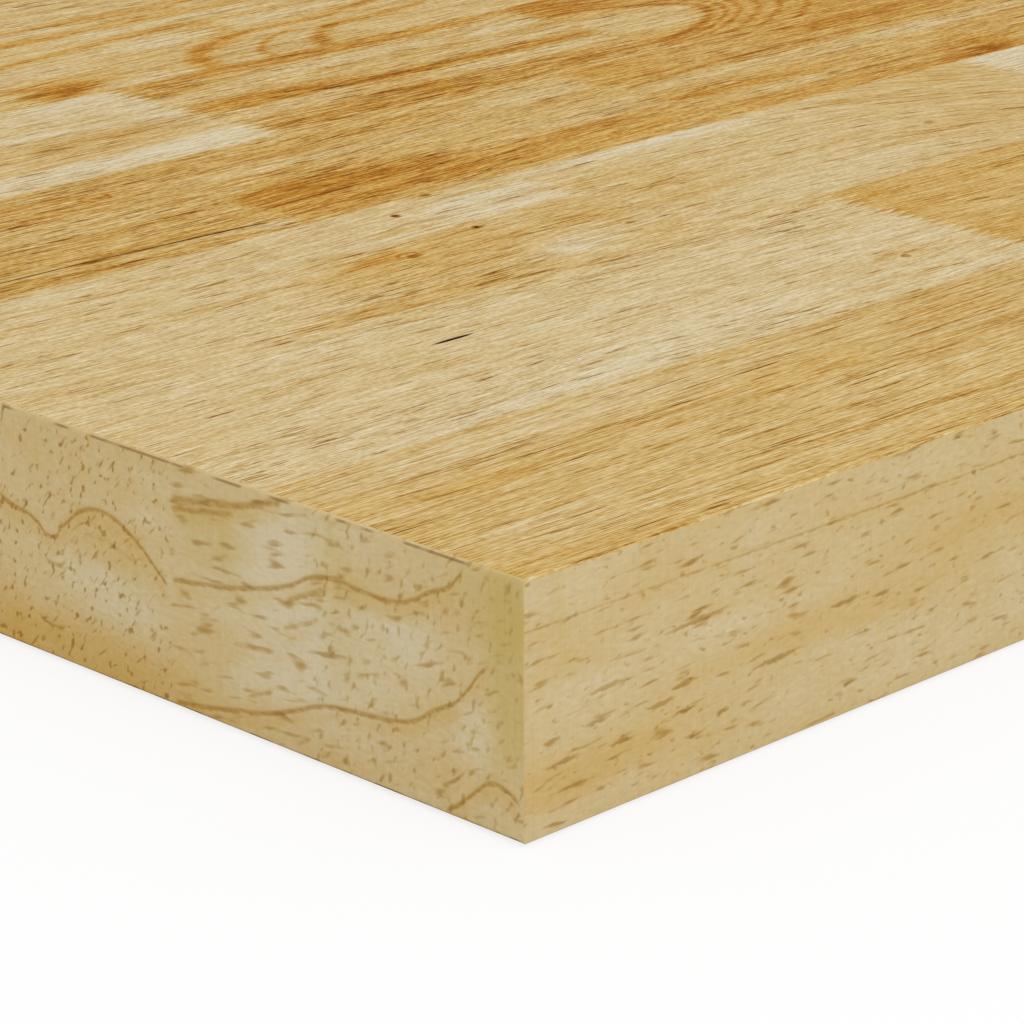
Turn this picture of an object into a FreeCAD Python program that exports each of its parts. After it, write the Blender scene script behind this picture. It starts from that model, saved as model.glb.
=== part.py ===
# Desk top: a butcher-block board of finger-jointed rubberwood staves, in millimetres.
#
# The staves lie side by side and are glued edge to edge. Each stave is a row of short blocks
# whose ends are cut to sharp fingers, which interlock and are glued. Every block is a solid of
# its own, and neighbours meet face to face.
#
# +X runs along the grain, +Y across the staves and +Z up. The origin is the middle of the
# underside. Stave 1 is at the front, and block 1 is at its left end.

import FreeCAD, Part
import os

from FreeCAD import Vector

# The board
LENGTH = 1200.0
WIDTH = 650.0
THICKNESS = 40.0

# The eased arrises. The sawn ends are eased more than the planed long edges
END_ARRIS = 0.6
LONG_ARRIS = 0.25

# The finger joints. The pitch is nominal: a stave holds a whole number of fingers
FINGER_LENGTH = 4.8
FINGER_PITCH = 2.45

# The middles of each stave's finger joints, for the staves from front to back: first those
# measured from the left end, then the one measured from the right end
JOINTS = (
    ((368.0, 702.0), 226.0),
    ((190.0, 534.0), 310.0),
    ((159.0, 299.0, 644.0), 263.0),
    ((108.0, 227.0, 556.0), 353.0),
    ((151.0, 266.0, 586.0), 236.0),
    ((376.0, 721.0), 169.0),
    ((314.0,), 421.0),
    ((217.0, 530.0), 337.0),
    ((418.0,), 389.0),
    ((269.0, 594.0), 310.0),
    ((464.0,), 414.0),
    ((331.0, 650.0), 236.0),
)

STAVE_COUNT = len(JOINTS)
STAVE_WIDTH = WIDTH / STAVE_COUNT
FINGER_COUNT = round(STAVE_WIDTH / FINGER_PITCH)
LEFT_END = -LENGTH / 2
RIGHT_END = LENGTH / 2
FRONT_EDGE = -WIDTH / 2


def prism(outline, run):
    """A solid swept straight along run from a flat outline of points."""
    return Part.Face(Part.makePolygon(outline + outline[:1])).extrude(run)


def eased_section(span, arris):
    """A section of the board as (across, up) points, with its four corners eased."""
    outer = span / 2
    inner = outer - arris
    low = arris
    high = THICKNESS - arris
    right = [(inner, 0), (outer, low), (outer, high), (inner, THICKNESS)]
    left = [(-across, up) for across, up in reversed(right)]
    return right + left


def board_envelope():
    """The whole board with its arrises eased, which trims the blocks on its rim."""
    lengthwise = [Vector(x, FRONT_EDGE, z) for x, z in eased_section(LENGTH, END_ARRIS)]
    crosswise = [Vector(LEFT_END, y, z) for y, z in eased_section(WIDTH, LONG_ARRIS)]
    ends_eased = prism(lengthwise, Vector(0, WIDTH, 0))
    edges_eased = prism(crosswise, Vector(LENGTH, 0, 0))
    return ends_eased.common(edges_eased)


def plain_end(x, front, back):
    """A block's plain end at the rim of the board, as plan points from front to back."""
    return [Vector(x, front, 0), Vector(x, back, 0)]


def fingered_end(x, front, back):
    """The zigzag of a finger joint about x, as plan points from front to back."""
    half_pitch = (back - front) / (2 * FINGER_COUNT)
    points = []
    for i in range(2 * FINGER_COUNT + 1):
        side = 1 if i % 2 else -1
        points.append(Vector(x + side * FINGER_LENGTH / 2, front + i * half_pitch, 0))
    return points


def stave_ends(stave):
    """The ends that the blocks of a stave share, from the left end to the right end."""
    front = FRONT_EDGE + stave * STAVE_WIDTH
    back = front + STAVE_WIDTH
    from_left, from_right = JOINTS[stave]
    ends = [plain_end(LEFT_END, front, back)]
    ends += [fingered_end(LEFT_END + place, front, back) for place in from_left]
    ends.append(fingered_end(RIGHT_END - from_right, front, back))
    ends.append(plain_end(RIGHT_END, front, back))
    return ends


def stave_blocks(stave, envelope):
    """The blocks of a stave, cut right through the thickness, from left to right."""
    ends = stave_ends(stave)
    outer_stave = stave in (0, STAVE_COUNT - 1)
    blocks = []
    for i in range(len(ends) - 1):
        solid = prism(ends[i] + ends[i + 1][::-1], Vector(0, 0, THICKNESS))
        end_block = i in (0, len(ends) - 2)
        if outer_stave or end_block:
            solid = solid.common(envelope).Solids[0]
        blocks.append(solid)
    return blocks


def main():
    os.makedirs("parts", exist_ok=True)
    envelope = board_envelope()
    for stave in range(STAVE_COUNT):
        for i, solid in enumerate(stave_blocks(stave, envelope)):
            solid.exportStep(f"parts/stave_{stave + 1:02d}_block_{i + 1}.step")


main()
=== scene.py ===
import math
import random

import bpy
from bpy.props import FloatProperty, FloatVectorProperty, PointerProperty
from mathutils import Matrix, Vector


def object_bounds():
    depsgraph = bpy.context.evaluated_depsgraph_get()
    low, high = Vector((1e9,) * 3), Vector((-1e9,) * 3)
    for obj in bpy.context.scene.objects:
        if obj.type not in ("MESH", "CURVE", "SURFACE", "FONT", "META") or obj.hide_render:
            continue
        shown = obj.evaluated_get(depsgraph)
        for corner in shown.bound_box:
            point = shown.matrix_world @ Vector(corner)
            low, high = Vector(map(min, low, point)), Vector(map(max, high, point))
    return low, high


bl_info = {
    "name": "Butcher-block desk top",
    "version": (1, 0, 0),
    "blender": (4, 5, 0),
    "location": "View3D > Sidebar > Desk Top",
    "description": "Finishes the staves of a finger-jointed rubberwood desk top",
    "category": "Object",
}

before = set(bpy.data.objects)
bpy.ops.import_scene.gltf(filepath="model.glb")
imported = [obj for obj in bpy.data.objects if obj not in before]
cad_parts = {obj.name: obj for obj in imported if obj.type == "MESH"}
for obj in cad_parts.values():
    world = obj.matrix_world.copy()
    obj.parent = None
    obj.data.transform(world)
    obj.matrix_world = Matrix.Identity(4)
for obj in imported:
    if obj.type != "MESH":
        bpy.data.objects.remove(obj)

# The board as it was packed, in metres
BOARD_LOW, BOARD_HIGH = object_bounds()
LENGTH, DEPTH, THICKNESS = [high - low for low, high in zip(BOARD_LOW, BOARD_HIGH)]
STAVE_COUNT = 12

# The same in millimetres, in which the figure of the wood is laid out
LENGTH_MM, DEPTH_MM, THICK_MM = LENGTH * 1000, DEPTH * 1000, THICKNESS * 1000
STAVE_MM = DEPTH_MM / STAVE_COUNT

# Places along a sawn side: the ends run from 0 by their y, the long edges from here by their x
EDGE_MM = 1000.0

# Past every place on the board, for a figure that has no end
BEYOND_MM = 3000.0

# The figure of the wood: lengths in millimetres, and shares of its tone and colour
GLUE_MM = 0.32
GLUE_TONE = 0.18
LOOP_FADE_MM = 8.0
STROKE_FADE_MM = 1.5
UNDERSIDE_DRIFT = 2.7
PORE_TINT = 0.72
FIBRE_GAMMA = 1.7
FIBRE_DIMMING = 0.14

# The sawn sides: their tone, the painted shade that dims them below the top, how the pores climb,
# the seed of the corner's pattern, the seam that the near end shows, and how far below the top the
# eased edge is brown
SIDE_TONE = 0.21
END_PAINTED_SHADE, EDGE_PAINTED_SHADE = 0.966, 0.920
MARK_CLIMB = 0.05
CORNER_SEED = (31.0, 57.0, 0.0)
END_SEAM_MM = 75.7
BROWN_MM, UNBROWNED_MM = 0.34, 0.22

# From finger to finger of a joint
FINGER_MM = 2.46

# The camera's place from the board's near bottom corner, in metres, and its angles in degrees
CAMERA_OFFSET = (-0.369756, -0.364628, 0.230156)
CAMERA_DOWN = 19.121
CAMERA_ROUND = -45.22
CAMERA_LENS = 140.34
SENSOR_MM = 36.0

# The soft light's place in metres, and how it leans and turns in degrees
PANEL_PLACE = (-1.0, -2.1, 2.1)
PANEL_LEAN, PANEL_TURN = 42, -25
FLOOR_GAP = 0.0005


def colour(name, description, value):
    """A colour that the panel shows."""
    return FloatVectorProperty(
        name=name, description=description, subtype="COLOR", size=3, min=0, max=1, default=value)


def share(name, description, value, top=1.0):
    """A plain number that the panel shows."""
    return FloatProperty(
        name=name, description=description, subtype="FACTOR", min=0, max=top, default=value)


class WoodColours(bpy.types.PropertyGroup):
    """The tones of the wood, from the palest to the deepest, and the colours of its marks."""

    white: colour("White", "The palest sapwood", (0.716, 0.610, 0.400))
    cream: colour("Cream", "Pale sapwood", (0.681, 0.535, 0.286))
    straw: colour("Straw", "Plain wood", (0.661, 0.475, 0.200))
    honey: colour("Honey", "Warm wood", (0.633, 0.418, 0.133))
    amber: colour("Amber", "Deep streaks", (0.608, 0.350, 0.074))
    toffee: colour("Toffee", "Growth lines", (0.538, 0.250, 0.022))
    bark: colour("Bark", "The cores of knots", (0.410, 0.150, 0.004))
    pore: colour("Pore", "The open pores", (0.250, 0.090, 0.006))
    # Painted shade: near black for the shade inside open checks and holes
    crack: colour("Crack", "Open checks and the darkest pores", (0.030, 0.004, 0.000))
    fleck: colour("Fleck", "The pores and growth lines on the sawn sides", (0.340, 0.203, 0.067))
    olive: colour("Olive", "Greenish sapwood on the sawn ends", (0.605, 0.450, 0.150))
    arris: colour("Arris", "The eased edge of a sawn end", (0.250, 0.140, 0.045))


class WoodFinish(bpy.types.PropertyGroup):
    """How strongly the grain shows, and the clear satin finish on it."""

    streaks: share("Streaks", "Strength of the broad streaks", 0.20, 3)
    lines: share("Lines", "Strength of the fine lines", 0.11, 3)
    fibres: share("Fibres", "How much the fibres darken and lighten the wood", 0.95, 3)
    pores: share("Pores", "Depth of the open pores", 0.85)
    relief: FloatProperty(
        name="Relief", description="Depth of the grain's relief", unit="LENGTH", default=0.0001)
    roughness: share("Roughness", "Of the clear satin finish", 0.5)
    shine: share("Shine", "Specular level of the clear satin finish", 0.01)


class StageSizes(bpy.types.PropertyGroup):
    """The floor and the light."""

    floor_size: FloatProperty(
        name="Floor size", description="Side of the square floor", unit="LENGTH", default=12.0)
    panel_size: FloatProperty(
        name="Panel size", description="Side of the soft light panel", unit="LENGTH", default=2.0)
    sky: share("Sky", "Strength of the even light all round", 0.76, 3)
    panel: FloatProperty(
        name="Panel power", description="Of the soft light panel", unit="POWER", default=25.0)


class Graph:
    """Adds nodes to a shader node tree. Most calls return the new node's output."""

    def __init__(self, tree):
        self.tree = tree

    def feed(self, socket, value):
        if isinstance(value, bpy.types.NodeSocket):
            self.tree.links.new(value, socket)
        else:
            socket.default_value = value

    def add(self, kind, inputs=None, **settings):
        node = self.tree.nodes.new(kind)
        for name, value in settings.items():
            setattr(node, name, value)
        for name, value in (inputs or {}).items():
            self.feed(node.inputs[name], value)
        return node

    def maths(self, operation, *values, clamp=False):
        node = self.add("ShaderNodeMath", operation=operation, use_clamp=clamp)
        for socket, value in zip(node.inputs, values):
            self.feed(socket, value)
        return node.outputs[0]

    def times(self, a, b):
        return self.maths("MULTIPLY", a, b)

    def minus(self, a, b):
        return self.maths("SUBTRACT", a, b)

    def vector_maths(self, operation, *values):
        node = self.add("ShaderNodeVectorMath", operation=operation)
        for socket, value in zip(node.inputs, values):
            self.feed(socket, value)
        return node.outputs["Value" if operation == "LENGTH" else "Vector"]

    def scaled(self, vector, by):
        """A vector or a colour times a number."""
        return self.add(
            "ShaderNodeVectorMath", {"Vector": vector, "Scale": by}, operation="SCALE").outputs[0]

    def plus(self, value, amount, share_of=1.0):
        """The value with a share of an amount added."""
        return self.maths("MULTIPLY_ADD", amount, share_of, value)

    def split(self, vector):
        return self.add("ShaderNodeSeparateXYZ", {"Vector": vector}).outputs

    def join(self, x, y, z=0.0):
        return self.add("ShaderNodeCombineXYZ", {"X": x, "Y": y, "Z": z}).outputs[0]

    def noise(self, vector, width, height, detail=1.0, roughness=0.5):
        """A smooth random value about 0, with features of a width and height."""
        sized = self.vector_maths("DIVIDE", vector, (width, height, 1.0))
        node = self.add("ShaderNodeTexNoise", {
            "Vector": sized, "Scale": 1.0, "Detail": detail, "Roughness": roughness},
            noise_dimensions="2D")
        return self.minus(node.outputs[0], 0.5)

    def step(self, value, low, high, start=0.0, end=1.0):
        """A soft step from start at low to end at high."""
        node = self.add(
            "ShaderNodeMapRange",
            {"Value": value, "From Min": low, "From Max": high, "To Min": start, "To Max": end},
            interpolation_type="SMOOTHSTEP")
        return node.outputs["Result"]

    def blend(self, factor, a, b):
        """From number a to number b by a factor."""
        return self.add("ShaderNodeMix", {0: factor, 2: a, 3: b}, data_type="FLOAT").outputs[0]

    def tint(self, factor, colour_of, other):
        """From a colour to one plain other colour by a factor."""
        inputs = {0: factor, 6: colour_of, 7: (*other, 1.0)}
        return self.add("ShaderNodeMix", inputs, data_type="RGBA").outputs[2]

    def group(self, name, make, inputs):
        """A group by its name, made the first time that it is asked for. Returns all outputs."""
        node = self.add("ShaderNodeGroup", node_tree=bpy.data.node_groups.get(name) or make(name))
        for label, value in inputs.items():
            self.feed(node.inputs[label], value)
        return node.outputs


def empty_shader(owner):
    """The graph of a material or the world, with no nodes yet."""
    owner.use_nodes = True
    owner.node_tree.nodes.clear()
    return Graph(owner.node_tree)


def new_group(name, vectors, floats, results, result_kind="Float"):
    """An empty node group with its sockets, as its tree, graph, inputs and outputs."""
    tree = bpy.data.node_groups.new(name, "ShaderNodeTree")
    sockets = [(label, "INPUT", "Vector") for label in vectors]
    sockets += [(label, "INPUT", "Float") for label in floats]
    sockets += [(label, "OUTPUT", result_kind) for label in results]
    for label, way, kind in sockets:
        tree.interface.new_socket(label, in_out=way, socket_type="NodeSocket" + kind)
    graph = Graph(tree)
    return tree, graph, graph.add("NodeGroupInput").outputs, graph.add("NodeGroupOutput").inputs


def dashes_group(name):
    """Scattered soft dashes: the tops of a stretched noise, more of them with a higher chance."""
    tree, g, given, out = new_group(name, ("Place", "Cell"), ("Chance", "Softness"), ("Dashes",))
    sized = g.vector_maths("DIVIDE", given["Place"], given["Cell"])
    height = g.noise(sized, 1, 1, roughness=0.4)
    low = g.plus(0.18, given["Chance"], -0.30)
    g.feed(out["Dashes"], g.step(height, low, g.maths("ADD", low, given["Softness"])))
    return tree


def grain_group(name):
    """Streaks, lines, fibres and pores along the grain, for a place in millimetres."""
    tree, g, given, out = new_group(
        name, ("Place", "Seed"), ("Lean", "Waviness", "Stretch", "Coarse", "Porosity"),
        ("Streaks", "Lines", "Fibres", "Pores", "Wander"))
    place = g.vector_maths("ADD", given["Place"], given["Seed"])
    wander = g.noise(place, 95, 38)
    x, y, _ = g.split(place)
    y = g.plus(g.plus(y, wander, given["Waviness"]), given["Lean"], -1.0)
    x = g.maths("DIVIDE", x, given["Stretch"])
    bent = g.join(x, y)
    # Each row of fibres is set on from the next, so that they never stand in columns
    set_on = g.join(g.plus(x, y, 4.7), y)
    fineness = g.maths("DIVIDE", 1.0, given["Coarse"])
    fine = g.scaled(set_on, fineness)
    finer = g.scaled(g.join(g.plus(x, y, 1.9), y), fineness)
    streaks = g.noise(bent, 70, 5.0, detail=0.5)
    lines = g.noise(fine, 32, 0.9)
    fibres = g.noise(fine, 6.0, 0.32)
    speckle = g.noise(finer, 0.8, 0.42)
    # Pores are long thin tubes, and show as dark dashes along the grain
    pores = g.group("Rubberwood dashes", dashes_group, {
        "Place": set_on, "Cell": (9.0, 0.42, 1.0), "Softness": 0.11,
        "Chance": g.plus(given["Porosity"], streaks, 0.6)})[0]
    # Some are shallow and some deep, in places apart from the streaks
    elsewhere = g.vector_maths("ADD", bent, (311.0, 97.0, 0.0))
    deep = g.step(g.noise(elsewhere, 24, 2.2), -0.10, 0.26, 0.35, 1.35)
    g.feed(out["Streaks"], streaks)
    g.feed(out["Lines"], lines)
    g.feed(out["Fibres"], g.plus(fibres, speckle, 0.9))
    g.feed(out["Pores"], g.times(pores, deep))
    g.feed(out["Wander"], wander)
    return tree


def oval_reach(g, given):
    """How far out a place is from an oval's centre: 1 on the oval."""
    offset = g.vector_maths("SUBTRACT", given["Place"], given["Centre"])
    return g.vector_maths("LENGTH", g.vector_maths("DIVIDE", offset, given["Size"]))


def patch_group(name):
    """Adds an amount to a value inside a soft oval."""
    tree, g, given, out = new_group(
        name, ("Place", "Centre", "Size"), ("Value", "Softness", "Amount"), ("Value",))
    reach = oval_reach(g, given)
    within = g.minus(1.0, given["Softness"])
    inside = g.step(reach, within, g.maths("ADD", 1.0, given["Softness"]), 1.0, 0.0)
    g.feed(out["Value"], g.plus(given["Value"], inside, given["Amount"]))
    return tree


def loop_group(name):
    """Adds an amount to a value along an oval growth line, which runs out past a place along it."""
    tree, g, given, out = new_group(
        name, ("Place", "Centre", "Size"), ("Value", "Radius", "Width", "Until", "Amount"),
        ("Value",))
    away = g.maths("ABSOLUTE", g.minus(oval_reach(g, given), given["Radius"]))
    line = g.step(away, 0.0, given["Width"], 1.0, 0.0)
    end = given["Until"]
    before = g.step(g.split(given["Place"])[0], end, g.maths("ADD", end, LOOP_FADE_MM), 1.0, 0.0)
    line = g.times(line, before)
    g.feed(out["Value"], g.plus(given["Value"], line, given["Amount"]))
    return tree


def stroke_group(name):
    """Adds an amount to a value along a curved line between two ends."""
    tree, g, given, out = new_group(
        name, (), ("Value", "Along", "Across", "Curve", "Start", "End", "Width", "Amount"),
        ("Value",))
    away = g.maths("ABSOLUTE", g.minus(given["Across"], given["Curve"]))
    line = g.step(away, g.times(given["Width"], 0.15), given["Width"], 1.0, 0.0)
    start, end = given["Start"], given["End"]
    after = g.step(given["Along"], start, g.maths("ADD", start, STROKE_FADE_MM))
    before = g.step(given["Along"], g.minus(end, STROKE_FADE_MM), end, 1.0, 0.0)
    line = g.times(line, g.times(after, before))
    g.feed(out["Value"], g.plus(given["Value"], line, given["Amount"]))
    return tree


def tone_group(name):
    """The wood's colour for a tone from 0, the palest, to 1, the deepest."""
    tree, g, given, out = new_group(name, (), ("Tone",), ("Colour",), "Color")
    colours = bpy.context.scene.desk_top_colours
    ramp = g.add("ShaderNodeValToRGB", {"Fac": given["Tone"]})
    stops = (
        (0.0, colours.white), (0.16, colours.cream), (0.33, colours.straw), (0.50, colours.honey),
        (0.66, colours.amber), (0.83, colours.toffee), (1.0, colours.bark))
    elements = ramp.color_ramp.elements
    while len(elements) < len(stops):
        elements.new(0.5)
    for element, (place, tone) in zip(elements, stops):
        element.position = place
        element.color = (*tone, 1.0)
    g.feed(out["Colour"], ramp.outputs["Color"])
    return tree


class BlockFinish:
    """The finish of one block of a stave. Its figure is laid out in millimetres from the
    board's left end, front edge and underside, and a tone runs from 0, the palest, to 1.
    Along a sawn side, the ends go by y, and the long edges by x from EDGE_MM."""

    def __init__(
            self, stave, block, tone, pores=0.34, stretch=1.0, waviness=5.0, strength=1.0,
            coarse=1.0, crisp=1.0):
        self.stave, self.block, self.tone, self.pores = stave, block, tone, pores
        self.stretch, self.waviness, self.strength = stretch, waviness, strength
        self.coarse, self.crisp = coarse, crisp
        self.chance = random.Random(100 * stave + block)
        self.leans = None
        self.patches, self.loops, self.lines, self.marks, self.busy_places = [], [], [], [], []
        self.cracks, self.splits = [], []
        self.side_patches, self.side_lines, self.side_dashes = [], [], []
        self.side_olives, self.side_marks = [], []
        last = max(number for row, number in BLOCKS if row == stave)
        self.has_end = block in (1, last)
        self.has_edge = stave in (1, STAVE_COUNT)

    def patch(self, x, y, long, wide, tone, softness=0.45):
        """A patch of the face with another tone."""
        self.patches.append((x, y, long, wide, tone, softness))

    def busy(self, x, y, long, wide, amount):
        """A patch of the face with more pores, or fewer."""
        self.busy_places.append((x, y, long, wide, amount, 0.5))

    def mark(self, x, y, long, wide, depth=1.0):
        """A dark mark on the face, such as a pin knot or an open pore."""
        self.marks.append((x, y, long, wide, depth, 0.45))

    def crack(self, x, y, long, wide):
        """One open pore, painted nearly black as the shade inside it."""
        self.cracks.append((x, y, long, wide, 1.0, 0.3))

    def split(self, points, width):
        """A hair-thin open check through (x, y) points, painted near black as the shade in its gap.
        """
        self.splits.append((points, width))

    def loop(self, x, y, long, wide, radius, width, tone, until=BEYOND_MM):
        """An oval growth line on the face, which may run out to the right."""
        self.loops.append((x, y, long, wide, radius, width, tone, until))

    def line(self, points, width, tone, dark=0.0):
        """A line on the face through (x, y) points."""
        self.lines.append((points, width, tone, dark))

    def lean(self, *points):
        """Makes the grain climb across the block, by (x, climb) points."""
        self.leans = points

    def side_patch(self, along, up, long, tall, tone, softness=0.6):
        """A patch of a sawn side with another tone."""
        self.side_patches.append((along, up, long, tall, tone, softness))

    def side_olive(self, along, up, long, tall, amount, softness=0.5):
        """A patch of a sawn side with greenish sapwood."""
        self.side_olives.append((along, up, long, tall, amount, softness))

    def side_mark(self, along, up, long, tall, depth):
        """One pore on a sawn side."""
        self.side_marks.append((along, up, long, tall, depth, 0.5))

    def side_line(self, points, width=0.66, dark=0.46, tone=0.13):
        """A growth line on a sawn side through (along, up) points."""
        self.side_lines.append((points, width, dark, tone))

    def side_dash(self, cell, softness, chance, rise, depth, start=-10.0, end=BEYOND_MM):
        """Scattered dashes on a sawn side from start to end."""
        self.side_dashes.append((cell, softness, chance, rise, depth, start, end))

    def through(self, along, points):
        """The height of a smooth curve through points, for places along it."""
        g = self.g
        points = sorted(points)
        first, last = points[0][0], points[-1][0]
        heights = [height for _, height in points]
        low, high = min(heights), max(heights) + 0.001
        place = g.maths("DIVIDE", g.minus(along, first), last - first)
        node = g.add("ShaderNodeFloatCurve", {"Value": place})
        curve = node.mapping.curves[0]
        while len(curve.points) < len(points):
            curve.points.new(0.5, 0.5)
        for point, (x, height) in zip(curve.points, points):
            point.location = ((x - first) / (last - first), (height - low) / (high - low))
        node.mapping.update()
        return g.maths("MULTIPLY_ADD", node.outputs[0], high - low, low)

    def stroke(self, value, along, across, points, width, amount):
        """Adds a curved line to a value."""
        ends = sorted(point[0] for point in points)
        return self.g.group("Stroke", stroke_group, {
            "Value": value, "Along": along, "Across": across, "Curve": self.through(along, points),
            "Start": ends[0], "End": ends[-1], "Width": width, "Amount": amount})[0]

    def spots(self, value, place, features):
        """Adds soft ovals to a value."""
        for x, y, long, wide, amount, softness in features:
            value = self.g.group("Patch", patch_group, {
                "Value": value, "Place": place, "Centre": (x, y, 0), "Size": (long, wide, 1),
                "Softness": softness, "Amount": amount})[0]
        return value

    def face_figure(self, x, y, z):
        """The tone, marks and fibres of the planed faces."""
        g = self.g
        finish = bpy.context.scene.desk_top_finish
        # Below the top face the figure drifts sideways, so the underside has its own
        under = g.plus(y, g.minus(THICK_MM, z), UNDERSIDE_DRIFT)
        flat = g.join(x, under)
        lean = self.through(x, self.leans) if self.leans else 0.0
        porosity = self.spots(self.pores, flat, self.busy_places)
        seed = (self.chance.uniform(0, 900), self.chance.uniform(0, 900), 0.0)
        grain = g.group("Rubberwood grain", grain_group, {
            "Place": flat, "Seed": seed, "Lean": lean, "Waviness": self.waviness,
            "Stretch": self.stretch, "Coarse": self.coarse, "Porosity": porosity})
        lines, fibres, wander = grain["Lines"], grain["Fibres"], grain["Wander"]
        # The edges of a patch run out in streaks along the grain
        ragged = g.join(g.plus(x, lines, 26.0), g.plus(g.plus(under, wander, 4.0), lines, 1.2))
        drawn_y = g.plus(g.plus(under, wander, 5.0), fibres, 0.9)
        drawn = g.join(g.plus(x, lines, 3.0), drawn_y)
        tone = self.spots(self.tone, ragged, self.patches)
        for cx, cy, long, wide, radius, width, amount, until in self.loops:
            tone = g.group("Loop", loop_group, {
                "Value": tone, "Place": drawn, "Centre": (cx, cy, 0), "Size": (long, wide, 1),
                "Radius": radius, "Width": width, "Until": until, "Amount": amount})[0]
        marks = self.spots(0.0, flat, self.marks)
        for points, width, amount, dark in self.lines:
            tone = self.stroke(tone, x, drawn_y, points, width, amount)
            if dark:
                marks = self.stroke(marks, x, under, points, width, dark)
        tone = g.plus(tone, grain["Streaks"], finish.streaks * self.strength)
        tone = g.plus(tone, lines, finish.lines * self.strength)
        # A thin dark line of glue where two staves meet, and none along the board's own edges
        within = g.maths("MINIMUM", g.maths("MAXIMUM", y, 1.0), DEPTH_MM - 1.0)
        across = g.maths("FRACT", g.maths("DIVIDE", g.maths("ADD", within, GLUE_MM / 2), STAVE_MM))
        tone = g.plus(tone, g.step(across, 0.0, GLUE_MM / STAVE_MM, 1.0, 0.0), GLUE_TONE)
        marks = g.plus(marks, grain["Pores"], finish.pores * self.crisp)
        # Where the open checks and holes get their painted shade
        cracks = self.spots(0.0, flat, self.cracks)
        for points, width in self.splits:
            cracks = self.stroke(cracks, x, g.plus(under, lines, 0.8), points, width, 1.0)
        tone = g.plus(tone, marks, 0.3)
        # Fibres darken the wood more than they lighten it
        together = g.plus(fibres, lines, 0.5)
        strong = finish.fibres * self.crisp
        dark, light = [g.times(together, by) for by in (strong, 0.6 * strong)]
        return tone, marks, cracks, g.maths("MAXIMUM", dark, light), fibres

    def side_figure(self, along, z):
        """The tone, marks, olive share and painted shade of the sawn sides, with their saw marks.
        """
        g = self.g
        seed = (self.chance.uniform(0, 900), self.chance.uniform(0, 900), 0.0)
        if self.stave < 4 and self.block == 1:
            # One pattern across the seams of the corner's staves, which hardly show there
            seed = CORNER_SEED
        place = g.vector_maths("ADD", g.join(along, z), seed)
        clouds = g.noise(place, 21, 7, detail=2)
        saw = g.noise(place, 0.45, 40)
        rough = g.noise(place, 1.7, 0.8)
        ragged = g.join(g.plus(along, clouds, 8.0), g.plus(z, clouds, 5.0))
        tone = g.plus(g.plus(g.plus(SIDE_TONE, clouds, 0.26), saw, 0.10), rough, 0.14)
        tone = self.spots(tone, ragged, self.side_patches)
        # Upright streaks of sapwood, and more of it where the block says so
        olive = g.step(g.noise(place, 4.5, 60), 0.08, 0.30, 0.0, 0.20)
        olive = self.spots(olive, ragged, self.side_olives)
        level = g.plus(g.plus(z, rough, 0.7), along, -MARK_CLIMB)
        shaken = g.join(g.plus(along, rough, 1.6), level)
        settled = [(a, up - MARK_CLIMB * a, *rest) for a, up, *rest in self.side_marks]
        marks = self.spots(0.0, shaken, settled)
        for cell, softness, chance, rise, depth, start, end in self.side_dashes:
            risen = g.plus(z, along, -rise)
            slanted = g.plus(g.plus(along, rough, 0.3), risen, 0.35)
            shaken = g.join(slanted, g.plus(risen, rough, 0.25))
            # Each set of dashes has a place of its own in the noise
            apart = (seed[1] + 7.0 * depth, seed[0] + cell[0], 0.0)
            dashes = g.group("Rubberwood dashes", dashes_group, {
                "Place": g.vector_maths("ADD", shaken, apart), "Cell": (*cell, 1.0),
                "Chance": chance, "Softness": softness})[0]
            inside = g.step(along, start - 0.5, start + 0.5)
            inside = g.times(inside, g.step(along, end - 0.5, end + 0.5, 1.0, 0.0))
            marks = g.plus(marks, g.times(dashes, inside), depth)
        wobbly = g.plus(z, rough, 0.35)
        for points, width, dark, amount in self.side_lines:
            broken = g.plus(dark, rough, 0.5)
            marks = self.stroke(marks, along, wobbly, points, width, broken)
            tone = self.stroke(tone, along, g.maths("ADD", wobbly, 1.0), points, 3.0, amount)
        # Painted shade: the sawn ends, and the long edges more, are dimmed below the top's
        # brightness, and saw marks vary it
        light = g.step(along, 0.7 * EDGE_MM, 0.9 * EDGE_MM, END_PAINTED_SHADE, EDGE_PAINTED_SHADE)
        light = g.plus(g.plus(light, saw, 0.12), rough, -0.08)
        return tone, g.maths("MINIMUM", marks, 0.85), olive, light, g.noise(place, 7.0, 30)

    def face_shader(self, tone, marks, cracks, shade, relief):
        """The satin surface of the planed faces."""
        g = self.g
        colours = bpy.context.scene.desk_top_colours
        finish = bpy.context.scene.desk_top_finish
        colour_of = g.group("Rubberwood tones", tone_group, {"Tone": tone})[0]
        pored = g.maths("MULTIPLY", marks, PORE_TINT, clamp=True)
        colour_of = g.tint(pored, colour_of, colours.pore)
        # Darker fibres are deeper in colour too
        gamma = g.plus(1.0, shade, FIBRE_GAMMA)
        colour_of = g.add("ShaderNodeGamma", {"Color": colour_of, "Gamma": gamma}).outputs[0]
        colour_of = g.scaled(colour_of, g.plus(1.0, shade, -FIBRE_DIMMING))
        # Painted shade: open checks and holes are tinted near black
        if self.cracks or self.splits:
            colour_of = g.tint(g.maths("MINIMUM", cracks, 1.0), colour_of, colours.crack)
        bump = g.add("ShaderNodeBump", {
            "Height": relief, "Strength": 0.5, "Distance": finish.relief})
        return g.add("ShaderNodeBsdfPrincipled", {
            "Base Color": colour_of, "Roughness": g.plus(finish.roughness, marks, 0.2),
            "Normal": bump.outputs[0], "Specular IOR Level": finish.shine}).outputs[0]

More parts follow.
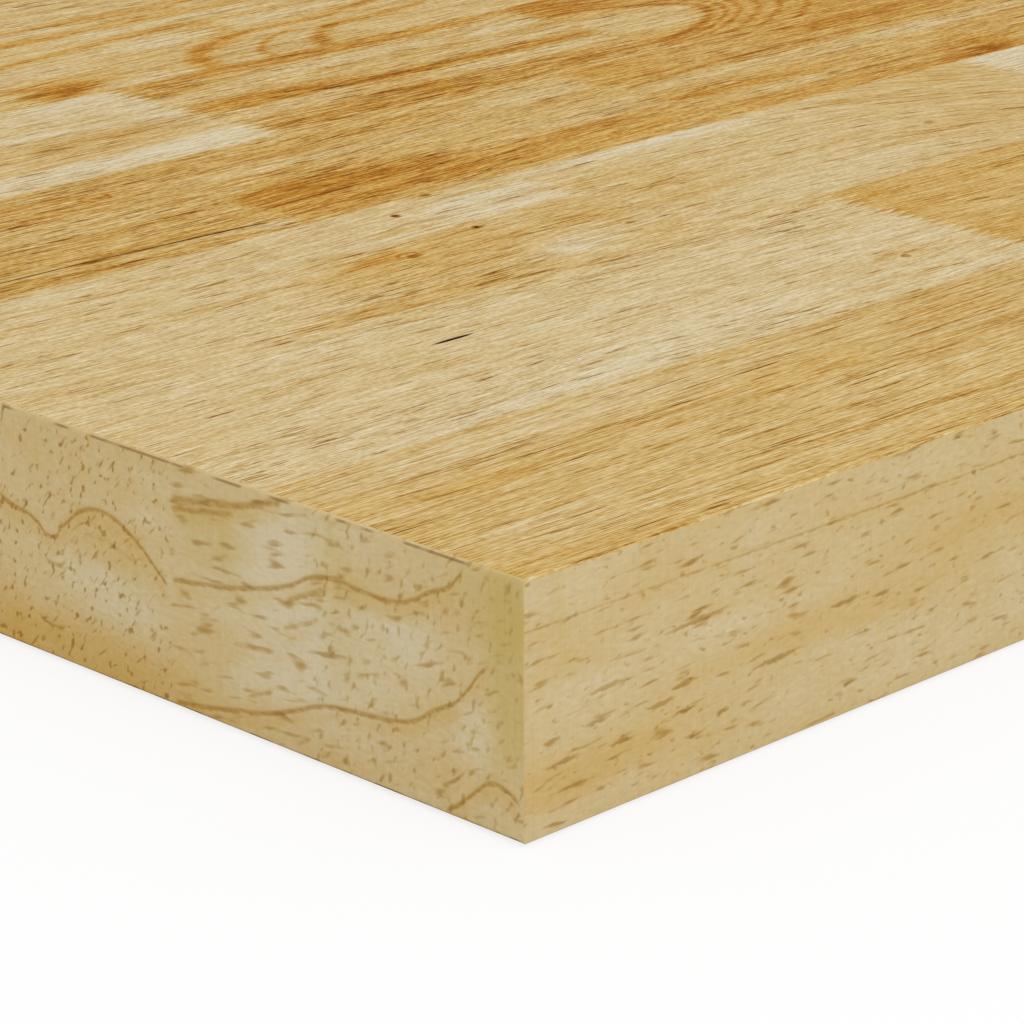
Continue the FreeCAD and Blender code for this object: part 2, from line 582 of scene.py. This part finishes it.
    def side_shader(self, tone, marks, olive, light, patchy, brown):
        """The duller surface of the sawn sides."""
        g = self.g
        colours = bpy.context.scene.desk_top_colours
        finish = bpy.context.scene.desk_top_finish
        tone = g.plus(tone, marks, 0.45)
        colour_of = g.group("Rubberwood tones", tone_group, {"Tone": tone})[0]
        colour_of = g.tint(g.maths("MINIMUM", olive, 1.0), colour_of, colours.olive)
        colour_of = g.tint(marks, colour_of, colours.fleck)
        if self.has_end:
            # Darker brown in patches along the lower part of the eased edge of a sawn end
            brown_patches = g.step(patchy, 0.00, 0.14, 0.14, 0.72)
            colour_of = g.tint(g.times(brown, brown_patches), colour_of, colours.arris)
        # Painted shade: the sawn side's colour is dimmed by its light factor
        colour_of = g.scaled(colour_of, light)
        return g.add("ShaderNodeBsdfPrincipled", {
            "Base Color": colour_of, "Roughness": finish.roughness + 0.1,
            "Specular IOR Level": finish.shine}).outputs[0]

    def finish(self):
        """Joins the faces into one shader and puts it on the block."""
        name = f"stave_{self.stave:02d}_block_{self.block}"
        material = bpy.data.materials.new(name + "_rubberwood")
        g = self.g = empty_shader(material)
        metres = g.add("ShaderNodeTexCoord").outputs["Object"]
        corner = [-1000 * low for low in BOARD_LOW]
        x, y, z = g.split(g.vector_maths("MULTIPLY_ADD", metres, (1000, 1000, 1000), corner))
        surface = self.face_shader(*self.face_figure(x, y, z))
        if self.has_end or self.has_edge:
            normal = g.split(g.add("ShaderNodeNewGeometry").outputs["True Normal"])
            upright = g.maths("ABSOLUTE", normal[2])
            endwise = g.maths("ABSOLUTE", normal[0])
            along = g.blend(g.step(endwise, 0.5, 0.6), g.maths("ADD", x, EDGE_MM), y)
            arris = g.times(g.step(endwise, 0.5, 0.6), g.step(upright, 0.5, 0.6))
            # Only the lower part of the eased edge is brown
            lower = g.step(z, THICK_MM - BROWN_MM, THICK_MM - UNBROWNED_MM, 1.0, 0.0)
            sawn = self.side_shader(*self.side_figure(along, z), g.times(arris, lower))
            is_face = g.times(g.step(upright, 0.35, 0.4), g.minus(1.0, arris))
            surface = g.add("ShaderNodeMixShader", {0: is_face, 1: sawn, 2: surface}).outputs[0]
        g.add("ShaderNodeOutputMaterial", {"Surface": surface})
        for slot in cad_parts[name].material_slots:
            slot.material = material


def block_keys():
    """Every block as its stave and its number, from the names of the nodes."""
    parts = [name.split("_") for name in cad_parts]
    return sorted((int(stave), int(block)) for _, stave, _, block in parts)


BLOCKS = block_keys()


def each(lay, rows):
    """Lays one feature of a block for each row of values."""
    for row in rows:
        lay(*row)


def sawn_sides(block):
    """Gives a block that the photograph doesn't show plain sawn sides."""
    block.side_dash((1.4, 2.2), 0.2, 0.18, 0.1, 0.5)
    block.side_dash((5.5, 1.4), 0.22, 0.14, 0.15, 0.5)
    if not block.has_edge:
        middle = (block.stave - 0.5) * STAVE_MM
        for level in (0.28, 0.7):
            height = THICK_MM * (level + block.chance.uniform(-0.1, 0.1))
            sag = block.chance.uniform(-6, 6)
            block.side_line([
                (middle + place * STAVE_MM, height + part * sag)
                for place, part in ((-0.5, 1.0), (-0.2, 0.2), (0.2, -0.3), (0.5, 0.4))])


def plain_block(stave, number, tone):
    """Finishes a block that the photograph doesn't show, with a figure of its own."""
    block = BlockFinish(stave, number, tone, pores=0.20 + 0.3 * tone, coarse=1.1)
    chance = block.chance
    middle = (stave - 0.5) * STAVE_MM
    for _ in range(5):
        x = chance.uniform(0, LENGTH_MM)
        y = middle + chance.uniform(-0.5, 0.5) * STAVE_MM
        long, wide = chance.uniform(40, 150), chance.uniform(3, 9)
        block.patch(x, y, long, wide, chance.choice((-0.14, -0.08, 0.10, 0.18)))
    level = middle + chance.uniform(-0.2, 0.2) * STAVE_MM
    climb = chance.uniform(-8, 8)
    rise = ((0.0, -climb), (0.3, 0.0), (0.7, climb), (1.0, 0.0))
    block.line(
        [(part * LENGTH_MM, level + up) for part, up in rise], chance.uniform(1.5, 3.0), 0.18)
    sawn_sides(block)
    block.finish()


# The tones of the blocks that the photograph doesn't show, from front to back
UNSEEN_TONES = {
    1: (0.30, 0.52, 0.36), 2: (0.25, 0.44), 3: (0.50, 0.28), 4: (0.22, 0.40), 5: (0.45, 0.20),
    6: (0.22, 0.50, 0.32), 7: (0.58, 0.28), 8: (0.30, 0.52, 0.24, 0.46), 9: (0.56, 0.26, 0.40),
    10: (0.20, 0.42, 0.60, 0.33), 11: (0.36, 0.24, 0.54), 12: (0.50, 0.30, 0.42, 0.26)}


def unseen_blocks(stave):
    """Finishes the blocks of a stave that lie outside the photograph."""
    tones = UNSEEN_TONES[stave]
    count = sum(row == stave for row, _ in BLOCKS)
    for tone, number in zip(tones, range(count - len(tones) + 1, count + 1)):
        plain_block(stave, number, tone)


class DESKTOP_OT_stave_1(bpy.types.Operator):
    """Finishes the honey-coloured stave along the front edge"""

    bl_idname = "desktop.stave_1"
    bl_label = "Stave 1, front"

    def execute(self, context):
        block = BlockFinish(1, 1, 0.40, pores=0.34, stretch=1.5)
        each(block.patch, (
            (45, 47, 55, 7, -0.12), (20, 14, 16, 5, -0.1), (26, 34, 14, 3, 0.12),
            (103, 37, 16, 5, 0.12), (150, 42, 12, 5, 0.14), (60, 3, 80, 4, 0.06),
            (0, 27, 6, 30, 0.06)))
        for x, y, long, depth in (
                (98, 43.6, 5.5, 0.8), (123, 49.7, 3.5, 0.8), (135, 45, 3.2, 0.7),
                (137, 37.8, 7, 0.7), (61, 10, 6.5, 0.8), (105, 22.6, 5.5, 0.8),
                (59, 27.2, 4.5, 0.6), (78, 41.8, 6, 0.6), (92, 33.3, 3.2, 0.7), (152, 37.7, 4, 0.6),
                (22, 16.5, 4, 0.5)):
            block.mark(x, y, long, 0.3, depth)
        front_edge(block)
        near_end(block)
        block.finish()
        unseen_blocks(1)
        return {"FINISHED"}


def front_edge(block):
    """The flecks and faint bands of the long edge at the corner block."""
    block.side_dash((6.4, 1.25), 0.26, 0.20, 0.06, 0.62, start=EDGE_MM - 10)
    block.side_dash((2.2, 1.2), 0.24, 0.07, 0.12, 0.50, start=EDGE_MM - 10)
    for x, *rest in (
            (12, 8, 40, 3.5, 0.14), (70, 17, 30, 3, 0.1), (105, 24, 26, 4, 0.1),
            (30, 21, 26, 4, -0.08), (85, 7, 40, 5, -0.08)):
        block.side_patch(EDGE_MM + x, *rest)
    block.side_line([(EDGE_MM - 1, 32.2), (EDGE_MM + 120, 32.2)], 0.35, 0.22, 0.03)
    for x, height, long, depth in (
            (8, 10.6, 2.9, 0.5), (5.5, 14.3, 1.6, 0.5), (15, 14.7, 2.4, 0.5), (20, 10.1, 2.4, 0.6),
            (28.5, 13.6, 2.7, 0.5), (33.5, 11.1, 1.8, 0.8), (42, 8.6, 1.3, 0.6),
            (17, 19.5, 3.4, 0.4), (36, 24.5, 6, 0.5), (37, 26.1, 2, 0.4), (54, 13.7, 5, 0.5),
            (69.5, 18.6, 3.2, 0.5)):
        block.side_mark(EDGE_MM + x, height, long, 0.36, depth)


def near_end(block):
    """The growth lines and sapwood of the sawn end, right of the seam that it shows."""
    block.side_line([
        (75.7, 20.8), (69.3, 21.7), (63.8, 22.6), (53.7, 25), (48.3, 26.9), (43.3, 29.4),
        (38.7, 30.2), (32.8, 29.9), (26.6, 30), (22.4, 31.3), (19.1, 33.3), (15.3, 35),
        (13.3, 36.9), (11.6, 39.2)])
    block.side_line([
        (75.7, 0.8), (68, 1.9), (62, 3.1), (54.9, 4.6), (48.3, 6.9), (41.2, 9.6), (32.8, 10.8),
        (26.6, 11.5), (22.4, 12.7), (18.3, 15.4), (14.1, 17.7), (11.2, 20.6), (8.3, 24.2),
        (6.6, 25.4)])
    block.side_line([(16.2, 0.4), (12.4, 2.9), (9.1, 5.8), (6.2, 7.7), (3.7, 7.5), (0.3, 5.6)])
    each(block.side_line, (
        ([(75.7, 34), (67, 35.2), (59.7, 36.5), (53, 38.6), (49.5, 39.4)], 0.9, 0.4, 0.14),
        ([(75.7, 32.3), (68, 33.6), (60.4, 34.9)], 0.8, 0.34, 0.08),
        ([(50, 23.9), (45, 26.2), (40.7, 28.3)], 0.8, 0.34, 0.08),
        ([(50.8, 19.4), (46, 21.3), (42, 23.3)], 0.7, 0.26, 0.08),
        ([(16.8, 4.2), (14, 5.8), (11.4, 8.2)], 0.6, 0.5, 0.05),
        ([(48, 1.6), (44.3, 3.4)], 0.6, 0.35, 0.05),
        ([(58.7, 6.4), (55.4, 7.6), (52.2, 9)], 0.6, 0.35, 0.05)))
    each(block.side_olive, (
        (2.2, 25, 5, 15, 0.66, 0.6), (6.5, 34.5, 7, 6, 0.56, 0.7), (37, 26, 3.5, 13, 0.36, 0.9),
        (67, 29, 6, 5, 0.4, 0.7)))
    each(block.side_patch, (
        (48, 18, 25, 14, -0.17, 0.8), (53, 32, 9, 6, -0.12), (22, 26, 6, 5, -0.1),
        (10, 14, 4, 5, -0.14), (69, 10, 8, 8, 0.1), (50, 3, 14, 3, 0.08), (20, 8, 12, 4, 0.04)))
    each(block.side_dash, (
        ((1.5, 2.1), 0.3, 0.31, 0.0, 0.54, -1, 44), ((4.6, 1.5), 0.3, 0.18, -0.3, 0.54, -1, 40),
        ((5.6, 1.4), 0.3, 0.37, -0.12, 0.56, 36, END_SEAM_MM)))


def inner_end(block):
    """The growth lines and pores of the sawn end, left of the seam that it shows."""
    block.side_line([
        (118, 25), (113.8, 23.5), (110, 22.9), (107.6, 22), (104.7, 20.4), (102.2, 22.4),
        (99.3, 24.8), (96.3, 26.9), (93, 27.7), (89.7, 27.5), (86.8, 26.5), (82.6, 24.2),
        (79.3, 21.7), (75.9, 19)])
    each(block.side_line, (
        ([(106.8, 17.5), (103.8, 16), (100.6, 19)], 0.6, 0.35, 0.06),
        ([(100.5, 20), (97.2, 22.3), (93, 23.3), (86.8, 22.1), (83, 20.4)], 0.6, 0.16, 0.04),
        ([(108.8, 7), (105.1, 5.5), (103, 5.6), (101.3, 7.5)], 0.5, 0.4, 0.05)))
    each(block.side_patch, (
        (96, 1, 26, 6.5, 0.26), (116, 4, 6, 6, 0.12), (104, 33, 9, 8, 0.06), (90, 14, 12, 4, -0.12),
        (80, 33, 5, 5, -0.08)))
    block.side_dash((1.35, 1.8), 0.20, 0.18, 0.1, 0.70, start=END_SEAM_MM + 0.2)
    block.side_dash((3.0, 1.3), 0.18, 0.02, -0.9, 0.5, start=END_SEAM_MM + 0.2)


class DESKTOP_OT_stave_2(bpy.types.Operator):
    """Finishes the second stave, cream with one dark open pore"""

    bl_idname = "desktop.stave_2"
    bl_label = "Stave 2"

    def execute(self, context):
        block = BlockFinish(2, 1, 0.19, pores=0.17, strength=0.9)
        each(block.patch, (
            (60, 64, 70, 8, -0.06), (95, 58, 40, 2.5, -0.08), (130, 84, 40, 6, -0.05),
            (5, 80, 12, 26, 0.05), (120, 106, 80, 2.5, 0.1), (170, 72, 5, 4, 0.1)))
        each(block.busy, ((50, 64, 70, 8, 0.18), (125, 104, 70, 5, 0.26), (172, 97, 16, 4, 0.2)))
        block.crack(75, 90.5, 4.6, 0.50)
        each(block.mark, (
            (168.2, 70.2, 0.9, 1, 0.9), (21, 71.6, 3, 0.3, 0.6), (64, 74, 4, 0.25, 0.5),
            (105, 104.5, 2, 0.35, 0.8), (134, 105.5, 4, 0.3, 0.6), (170, 96.8, 1.6, 0.4, 0.7)))
        block.lean((0, 0), (60, 0.5), (110, 1.5), (190, 1))
        near_end(block)
        inner_end(block)
        block.finish()
        block = BlockFinish(2, 2, 0.55, pores=0.20)
        each(block.patch, ((198, 103, 6, 4, 0.12), (230, 85, 30, 8, -0.08)))
        block.lean((190, 0), (300, -4), (530, -6))
        block.finish()
        unseen_blocks(2)
        return {"FINISHED"}


class DESKTOP_OT_stave_3(bpy.types.Operator):
    """Finishes the third stave, pale with honey patches and pin knots"""

    bl_idname = "desktop.stave_3"
    bl_label = "Stave 3"

    def execute(self, context):
        block = BlockFinish(3, 1, 0.235, pores=0.25)
        each(block.patch, (
            (108, 128, 26, 12, 0.2), (92, 112, 34, 4.5, 0.2), (99, 133.5, 7, 3, 0.22),
            (104, 130, 30, 6, 0.08), (148, 133, 12, 9, 0.21), (150, 112, 14, 4, 0.14),
            (150, 121.5, 2.5, 2, 0.25), (137, 162, 5, 1.6, 0.3), (143, 149, 18, 7, -0.17, 0.3),
            (108, 142, 5, 3.5, -0.14), (131, 117, 6.5, 5, -0.18, 0.4), (125, 138, 6, 4, 0.14),
            (116, 146, 5, 1.6, 0.2)))
        each(block.busy, ((92, 113, 34, 6, 0.3), (120, 130, 34, 14, 0.14)))
        block.loop(106, 132.3, 2.2, 1.7, 1, 0.4, 0.3)
        each(block.mark, (
            (106, 132.3, 1.2, 1.1, 0.75), (123, 154.8, 0.9, 0.9, 1.3), (128, 138.6, 0.9, 0.8, 1.4),
            (150.5, 121, 1.2, 0.6, 0.8), (137.5, 161.8, 1.3, 0.8, 0.9), (68, 143.8, 5, 0.3, 0.7)))
        each(block.crack, ((123, 154.8, 0.5, 0.4), (128.2, 138.6, 0.5, 0.4)))
        inner_end(block)
        block.finish()
        block = BlockFinish(3, 2, 0.27, pores=0.19)
        each(block.patch, (
            (190, 159.2, 34, 2.4, -0.24), (208, 119, 34, 8, -0.08), (172, 137, 16, 13, 0.12),
            (252, 120, 30, 14, 0.04), (270, 142, 28, 24, 0.06), (252, 156, 8, 3, 0.12),
            (283, 157, 12, 6, 0.1)))
        each(block.busy, ((172, 136, 17, 13, 0.24), (260, 135, 36, 26, 0.16)))
        each(block.mark, (
            (159, 161.5, 0.9, 0.6, 0.8), (250, 131.5, 1.4, 1, 0.6), (192, 147.5, 3.5, 0.3, 0.7)))
        block.lean((155, 0), (215, -0.5), (232, -2), (250, -6), (270, -13), (300, -27))
        block.finish()
        BlockFinish(3, 3, 0.06, pores=0.16).finish()
        unseen_blocks(3)
        return {"FINISHED"}


class DESKTOP_OT_stave_4(bpy.types.Operator):
    """Finishes the fourth stave, tan and orange with a check and a knot"""

    bl_idname = "desktop.stave_4"
    bl_label = "Stave 4"

    def execute(self, context):
        block = BlockFinish(4, 1, 0.52, pores=0.52, strength=1.3, coarse=1.2, crisp=1.15)
        each(block.patch, (
            (70, 204, 40, 6, 0.1), (85, 176, 30, 6, 0.06), (104, 165.5, 6, 1.8, -0.35),
            (60, 190, 30, 6, -0.06)))
        block.split([
            (-5, 172.2), (20, 171.4), (43, 170.6), (62, 170.4), (75, 169.9), (90, 169.3),
            (104, 168.2)], 0.46)
        block.loop(92, 204, 3.4, 2, 1, 0.35, 0.35)
        each(block.mark, (
            (92.5, 204, 1.6, 0.9, 0.6), (96, 188, 4, 0.4, 0.9), (101, 200.4, 2.4, 0.4, 0.7),
            (98, 196.2, 3, 0.3, 0.6)))
        sawn_sides(block)
        block.finish()
        block = BlockFinish(4, 2, 0.50, pores=0.36, coarse=1.2, crisp=1.1)
        each(block.patch, (
            (134, 178, 28, 11, 0.24, 0.35), (122, 182, 16, 4, 0.06), (190, 171, 36, 8.5, 0.2),
            (118, 167, 16, 4, 0.08), (157, 198.3, 40, 1.9, -0.2), (211, 206.5, 17, 5.5, -0.22),
            (208, 185.5, 20, 4, -0.2), (150, 209, 40, 5, 0.06)))
        for level, end in ((169.5, 150), (173, 168), (176.5, 160), (181, 172), (185, 158)):
            block.line([(108, level - 0.6), (130, level), (end, level + 1.6)], 0.5, 0.16)
        # The joint shows as dark finger tips
        for tip in range(5):
            block.mark(106.6, 195.3 + FINGER_MM * tip, 1.9, 0.4, 0.9)
        each(block.busy, ((140, 178, 34, 12, 0.26), (150, 206, 36, 8, 0.18)))
        block.lean((100, 0), (135, 1.5), (170, 4), (230, 6))
        block.finish()
        block = BlockFinish(4, 3, 0.58, pores=0.34, coarse=1.2, crisp=1.1)
        each(block.patch, (
            (238, 207, 14, 9, 0.12), (322, 208, 34, 8, 0.16), (285, 191.5, 62, 4, -0.22),
            (330, 192.5, 30, 4.5, -0.1), (256, 174.8, 18, 3, -0.2), (250, 181, 26, 2.2, 0.14),
            (260, 167, 36, 3, 0.1), (313, 168, 14, 6, 0.16), (313.5, 166.5, 4.5, 3, 0.24),
            (318, 174, 5, 8, 0.12)))
        each(block.mark, ((313.5, 166, 2.2, 1.6, 0.5), (283, 172.6, 12, 0.4, 0.8)))
        block.line([(225, 195), (240, 196.5), (260, 198.6), (285, 200.2)], 0.8, 0.22, 0.45)
        block.line([(285, 199.3), (310, 199.6), (345, 197.5)], 0.6, 0.2, 0.3)
        block.finish()
        unseen_blocks(4)
        return {"FINISHED"}


class DESKTOP_OT_stave_5(bpy.types.Operator):
    """Finishes the fifth stave, cream, banded and looped"""

    bl_idname = "desktop.stave_5"
    bl_label = "Stave 5"

    def execute(self, context):
        block = BlockFinish(5, 1, 0.21, pores=0.22, coarse=1.2)
        each(block.patch, (
            (105, 222.5, 46, 5.2, -0.17, 0.3), (118, 238, 34, 8, 0.2, 0.4),
            (100, 229, 40, 1.5, 0.12), (135, 262, 20, 8, -0.1), (146, 247, 5, 12, -0.1),
            (112, 252, 10, 3, -0.08), (118, 256, 20, 2.5, 0.1)))
        block.busy(118, 240, 32, 8, 0.3)
        sawn_sides(block)
        block.finish()
        block = BlockFinish(5, 2, 0.47, pores=0.32, coarse=1.25, crisp=1.2)
        each(block.patch, (
            (208, 267.5, 60, 3.4, 0.3, 0.35), (160, 261, 12, 3, 0.14),
            (222, 258, 46, 4.2, -0.17, 0.3), (165, 253, 22, 4, -0.08), (252, 257, 12, 4, -0.1),
            (252, 247, 16, 4, -0.1), (169, 242.5, 27, 4, 0.34, 0.35),
            (230, 239.5, 38, 2.6, 0.32, 0.35), (202, 239, 12, 3.6, 0.2),
            (238, 233, 28, 3, -0.17, 0.35), (172, 234.5, 20, 2.6, -0.12),
            (205, 223, 58, 7, 0.2, 0.35), (202, 224, 5, 6, 0.16), (236.5, 256.5, 4, 2.6, 0.26)))
        each(block.busy, ((205, 223, 56, 7, 0.4), (205, 241, 56, 4, 0.26), (190, 266, 40, 4, 0.2)))
        each(block.mark, (
            (190, 229.3, 7, 0.5, 0.8), (160, 229.3, 5, 0.5, 0.6), (222, 240, 8, 0.35, 0.5)))
        block.finish()
        block = BlockFinish(5, 3, 0.66, pores=0.20, waviness=2.0, coarse=1.25, crisp=1.1)
        each(block.patch, (
            (282, 241, 19, 12, -0.31), (266, 240, 8, 12, -0.1), (276, 263, 6, 7, 0.12),
            (300, 262, 20, 14, 0.04)))
        block.loop(258, 240, 43, 18.5, 1, 0.09, 0.4)
        for radius in (1.12, 1.22, 1.35, 1.50, 1.70):
            block.loop(258, 240, 43, 18.5, radius, 0.045, 0.24)
        block.finish()
        unseen_blocks(5)
        return {"FINISHED"}


class DESKTOP_OT_stave_6(bpy.types.Operator):
    """Finishes the sixth stave, with the long looped figure"""

    bl_idname = "desktop.stave_6"
    bl_label = "Stave 6"

    def execute(self, context):
        block = BlockFinish(6, 1, 0.37, pores=0.18, waviness=3.0, coarse=1.25, crisp=1.1)
        block.line([
            (120, 299), (145, 303), (160, 306), (175, 308), (190, 308.6), (206, 310)], 3.2, 0.3)
        block.line([(206, 309), (222, 308.5), (240, 308), (262, 309)], 1.4, 0.16)
        each(block.patch, (
            (206, 301, 3.2, 9, 0.3, 0.6), (168, 321, 14, 3.4, 0.26), (206, 322, 24, 3.5, 0.24),
            (232, 318, 6, 7, 0.14), (188, 315.5, 22, 3, -0.14), (222, 314.5, 14, 3.5, -0.14),
            (221, 273, 6, 6, 0.12), (240, 284.5, 11, 2.6, 0.18), (262, 276, 24, 6, -0.02),
            (143, 276.5, 9, 4.2, 0.42, 0.6), (145, 278, 17, 9, 0.22, 0.6), (188, 300, 14, 5, -0.2),
            (145, 294, 20, 5.5, -0.16), (225, 303, 16, 4, -0.14), (160, 273, 10, 2.8, -0.14)))
        # The long loop, whose rings open to the right
        block.loop(208, 267, 27.5, 25, 1.0, 0.22, 0.46, until=200)
        block.line([(200, 291.5), (212, 293.4), (230, 294.2), (243, 296), (262, 299.5)], 2.6, 0.36)
        block.loop(222, 269, 24.5, 19, 1.0, 0.08, 0.40, until=214)
        block.line([(214, 287.5), (220, 289), (232, 290.4), (250, 292)], 0.8, 0.2)
        block.loop(238, 267, 25, 20, 1.0, 0.18, 0.40, until=226)
        block.line([(224, 285.4), (232, 286.8), (245, 287.4), (262, 289)], 1.8, 0.32)
        each(block.busy, ((205, 276, 22, 10, 0.3), (143, 276.5, 12, 5, 0.35)))
        block.line([
            (130, 281.5), (148, 284.6), (160, 286.6), (175, 289), (187, 291.6), (194, 295),
            (199, 300)], 0.8, 0.24)
        block.line([(150, 282.5), (165, 285.2), (180, 288.6)], 0.7, 0.16)
        block.mark(203, 322.5, 2.5, 0.5, 0.6)
        sawn_sides(block)
        block.finish()
        unseen_blocks(6)
        return {"FINISHED"}


class DESKTOP_OT_stave_7(bpy.types.Operator):
    """Finishes the seventh stave, at the top of the photograph"""

    bl_idname = "desktop.stave_7"
    bl_label = "Stave 7"

    def execute(self, context):
        block = BlockFinish(7, 1, 0.37, pores=0.34, coarse=1.25, crisp=1.1)
        each(block.patch, (
            (195, 329.5, 30, 3, 0.26), (172, 326, 12, 2.5, -0.2), (190, 336, 30, 3, -0.08),
            (190, 348, 12, 4, -0.1)))
        each(block.mark, (
            (184, 328.6, 2.4, 0.5, 0.8), (178, 329, 1.6, 0.6, 0.6), (191, 350.5, 2, 0.6, 0.6)))
        sawn_sides(block)
        block.finish()
        unseen_blocks(7)
        return {"FINISHED"}


class DESKTOP_OT_back_staves(bpy.types.Operator):
    """Finishes the staves behind the photograph's view"""

    bl_idname = "desktop.back_staves"
    bl_label = "Staves 8 to 12"

    def execute(self, context):
        for stave in range(8, STAVE_COUNT + 1):
            unseen_blocks(stave)
        return {"FINISHED"}


class DESKTOP_OT_stage(bpy.types.Operator):
    """Adds the floor, the light and the photograph's camera"""

    bl_idname = "desktop.stage"
    bl_label = "Stage"

    def execute(self, context):
        sizes = context.scene.desk_top_stage
        bpy.ops.object.select_all(action="DESELECT")
        bpy.ops.mesh.primitive_plane_add(
            size=sizes.floor_size, location=(0, 0, BOARD_LOW[2] - FLOOR_GAP))
        floor = context.object
        floor.name = "floor"
        bpy.ops.object.transform_apply(location=True, rotation=True, scale=True)
        floor.data.materials.append(floor_material())
        white_world(context.scene, sizes.sky)
        bpy.ops.object.light_add(type="AREA", location=PANEL_PLACE)
        panel = context.object
        panel.name = "soft_panel"
        panel.data.size = sizes.panel_size
        panel.data.energy = sizes.panel
        panel.rotation_euler = (math.radians(PANEL_LEAN), 0, math.radians(PANEL_TURN))
        eye = [low + offset for low, offset in zip(BOARD_LOW, CAMERA_OFFSET)]
        tilt = (math.radians(90 - CAMERA_DOWN), 0, math.radians(CAMERA_ROUND))
        bpy.ops.object.camera_add(location=eye, rotation=tilt)
        camera = context.object
        camera.name = "photograph_camera"
        camera.data.lens = CAMERA_LENS
        camera.data.sensor_width = SENSOR_MM
        camera.data.clip_start = 0.01
        context.scene.camera = camera
        context.scene.view_settings.view_transform = "Standard"
        return {"FINISHED"}


def seen_directly(g):
    """1 for the rays that show the background, straight on or in a gloss."""
    ray = g.add("ShaderNodeLightPath").outputs
    shown = g.maths("MAXIMUM", ray["Is Glossy Ray"], ray["Is Transmission Ray"])
    return g.maths("MAXIMUM", ray["Is Camera Ray"], shown)


def floor_material():
    """A pale floor, which is near white to the camera and keeps a soft shadow."""
    material = bpy.data.materials.new("pale_floor")
    g = empty_shader(material)
    lit = g.add("ShaderNodeBsdfDiffuse", {"Color": (0.82, 0.82, 0.82, 1)})
    bright = g.add("ShaderNodeBsdfDiffuse", {"Color": (1, 1, 1, 1)})
    white = g.add("ShaderNodeEmission", {"Color": (1, 1, 1, 1), "Strength": 1.0})
    shown = g.add("ShaderNodeMixShader", {0: 0.80, 1: bright.outputs[0], 2: white.outputs[0]})
    both = g.add("ShaderNodeMixShader", {
        0: seen_directly(g), 1: lit.outputs[0], 2: shown.outputs[0]})
    g.add("ShaderNodeOutputMaterial", {"Surface": both.outputs[0]})
    return material


def white_world(scene, strength):
    """An even sky that lights softly and is white where it shows."""
    world = scene.world or bpy.data.worlds.new("sky")
    scene.world = world
    g = empty_shader(world)
    level = g.blend(seen_directly(g), strength, 1.0)
    sky = g.add("ShaderNodeBackground", {"Color": (1, 1, 1, 1), "Strength": level})
    g.add("ShaderNodeOutputWorld", {"Surface": sky.outputs[0]})


class DESKTOP_PT_panel(bpy.types.Panel):
    """Lists the steps and the sizes of the desk top"""

    bl_label = "Desk Top"
    bl_idname = "DESKTOP_PT_panel"
    bl_space_type = "VIEW_3D"
    bl_region_type = "UI"
    bl_category = "Desk Top"

    def draw(self, context):
        layout = self.layout
        for operator in OPERATORS:
            layout.operator(operator.bl_idname)
        scene = context.scene
        for group in (scene.desk_top_colours, scene.desk_top_finish, scene.desk_top_stage):
            box = layout.box()
            for name in group.__annotations__:
                box.prop(group, name)


OPERATORS = (
    DESKTOP_OT_stage, DESKTOP_OT_stave_1, DESKTOP_OT_stave_2, DESKTOP_OT_stave_3,
    DESKTOP_OT_stave_4, DESKTOP_OT_stave_5, DESKTOP_OT_stave_6, DESKTOP_OT_stave_7,
    DESKTOP_OT_back_staves)
CLASSES = (WoodColours, WoodFinish, StageSizes, *OPERATORS, DESKTOP_PT_panel)


def register():
    for cls in CLASSES:
        bpy.utils.register_class(cls)
    bpy.types.Scene.desk_top_colours = PointerProperty(type=WoodColours)
    bpy.types.Scene.desk_top_finish = PointerProperty(type=WoodFinish)
    bpy.types.Scene.desk_top_stage = PointerProperty(type=StageSizes)


def unregister():
    del bpy.types.Scene.desk_top_stage
    del bpy.types.Scene.desk_top_finish
    del bpy.types.Scene.desk_top_colours
    for cls in reversed(CLASSES):
        bpy.utils.unregister_class(cls)


def main():
    register()
    bpy.ops.desktop.stage()
    bpy.ops.desktop.stave_1()
    bpy.ops.desktop.stave_2()
    bpy.ops.desktop.stave_3()
    bpy.ops.desktop.stave_4()
    bpy.ops.desktop.stave_5()
    bpy.ops.desktop.stave_6()
    bpy.ops.desktop.stave_7()
    bpy.ops.desktop.back_staves()


if __name__ == "__main__":
    main()
